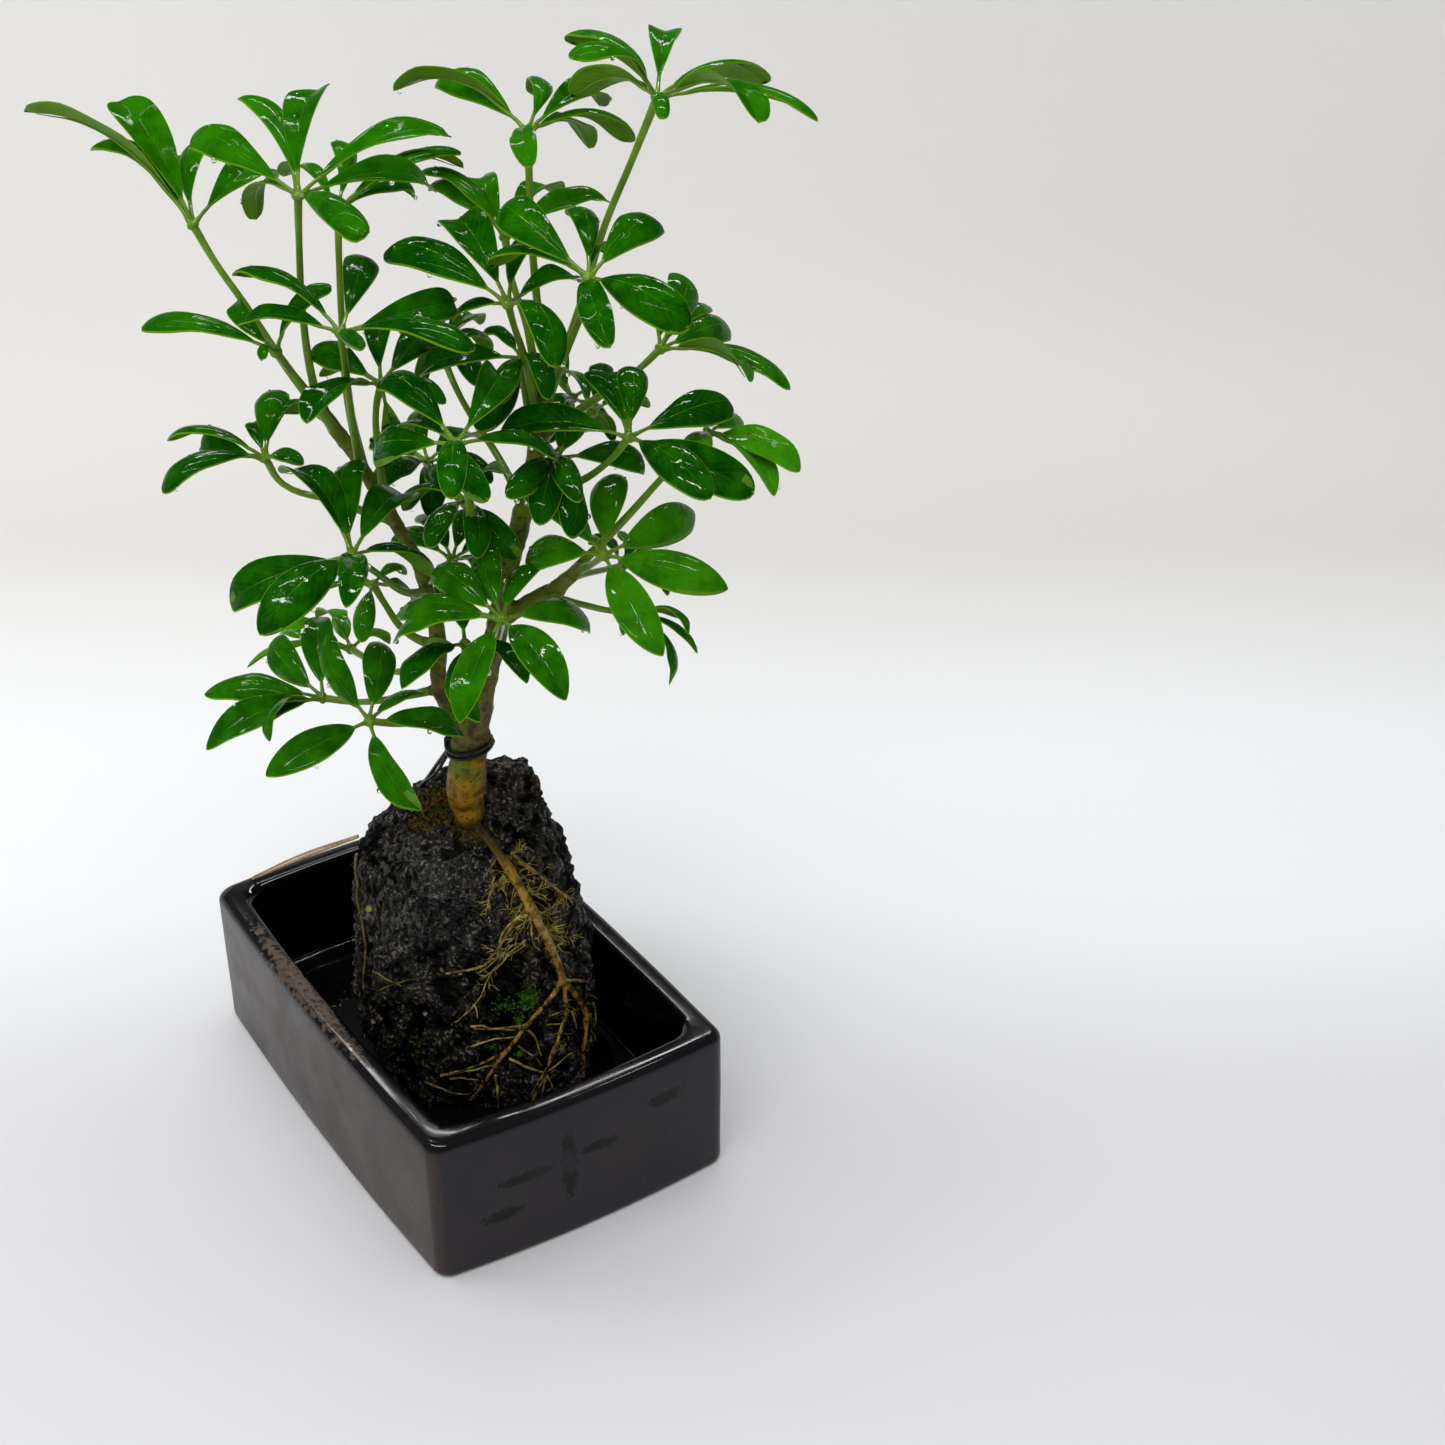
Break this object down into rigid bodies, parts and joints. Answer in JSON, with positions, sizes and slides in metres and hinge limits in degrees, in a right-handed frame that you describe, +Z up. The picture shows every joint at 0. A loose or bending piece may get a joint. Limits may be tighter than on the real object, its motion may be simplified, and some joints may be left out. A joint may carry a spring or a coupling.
{
  "type": "root over rock bonsai",
  "caption": "Small umbrella tree with palmate leaves, its roots clasping a porous dark rock that stands in a glazed rectangular tray of shallow water.",
  "frame": {"origin": "middle of the tray's underside, on the surface that it stands on", "axes": "+X along the tray's long side, +Y across it towards the side that the picture doesn't show, +Z up"},
  "size_m": [0.2062, 0.1934, 0.397],
  "materials": {
    "glaze": "dark brown-black glaze, satin outside and wet inside",
    "water": "clear still water over the dark glaze",
    "lava_rock": "rough, porous and damp, with moss",
    "bark": "smooth young bark, yellow-brown on roots and trunk foot, olive-brown above",
    "wire": "black anodised training wire",
    "leaf": "glossy wet leaves with paler margins and ribs"
  },
  "bodies": {
    "root": {"tray": "glaze", "water": "water", "rock": "lava_rock", "wood": "bark", "tie_wire": "wire", "leaf_crown_right": "leaf", "leaf_crown_middle": "leaf", "leaf_crown_left_front": "leaf", "leaf_crown_left_back": "leaf", "leaf_far_left_high": "leaf", "leaf_left_upper": "leaf", "leaf_left_inner": "leaf", "leaf_centre_high": "leaf", "leaf_right_high": "leaf", "leaf_right_upper": "leaf", "leaf_centre_back_high": "leaf", "leaf_centre_front": "leaf", "leaf_centre_right": "leaf", "leaf_right_middle": "leaf", "leaf_right_young": "leaf", "leaf_left_centre": "leaf", "leaf_centre_back": "leaf", "leaf_left_low": "leaf", "leaf_left_front": "leaf", "leaf_centre_low": "leaf", "leaf_centre_lowest": "leaf", "leaf_low_front": "leaf", "leaf_low_left": "leaf", "leaf_low_back": "leaf", "leaf_left_under": "leaf", "leaf_right_front": "leaf", "leaf_right_low": "leaf", "leaf_right_back": "leaf", "leaf_centre_inner": "leaf", "leaf_back_left": "leaf", "leaf_right_inner": "leaf", "leaf_centre_low_back": "leaf", "leaf_back_right": "leaf", "leaf_centre_under": "leaf"}
  },
  "joints": []
}
